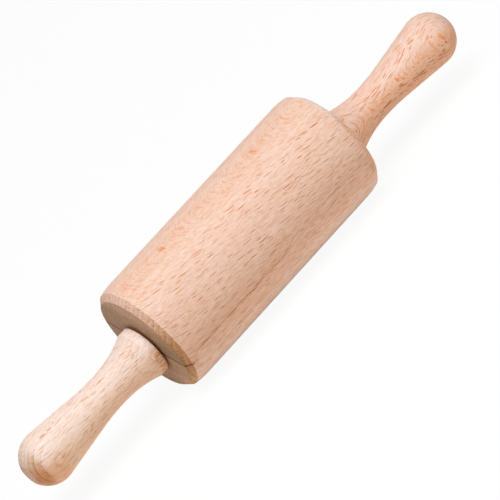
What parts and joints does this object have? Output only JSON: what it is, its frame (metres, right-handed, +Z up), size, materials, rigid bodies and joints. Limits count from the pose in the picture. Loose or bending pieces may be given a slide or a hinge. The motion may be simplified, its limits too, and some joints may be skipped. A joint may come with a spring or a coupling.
{
  "type": "rolling pin",
  "caption": "Small revolving rolling pin in turned beech: a chamfered barrel that turns on a loose wooden axle between two waisted handles.",
  "frame": {"origin": "centre of the barrel, on the barrel's own axis", "axes": "+X along the barrel's axis from the left handle to the right handle, +Z up with the pin lying on its barrel, +Y away from a user who holds the left handle in the left hand"},
  "size_m": [0.221, 0.045, 0.045],
  "materials": {
    "barrel_beech": "bare beech, drum sanded, satin",
    "axle_beech": "bare beech dowel, satin",
    "handle_beech": "bare beech, turned and sanded, satin"
  },
  "bodies": {
    "handles": {"axle": "axle_beech", "left_handle": "handle_beech", "right_handle": "handle_beech"},
    "barrel": {"barrel": "barrel_beech"}
  },
  "joints": [
    {"name": "barrel_spin", "type": "hinge", "parent": "handles", "child": "barrel", "pos_m": [0, 0, 0], "axis": [1, 0, 0], "continuous": true}
  ]
}
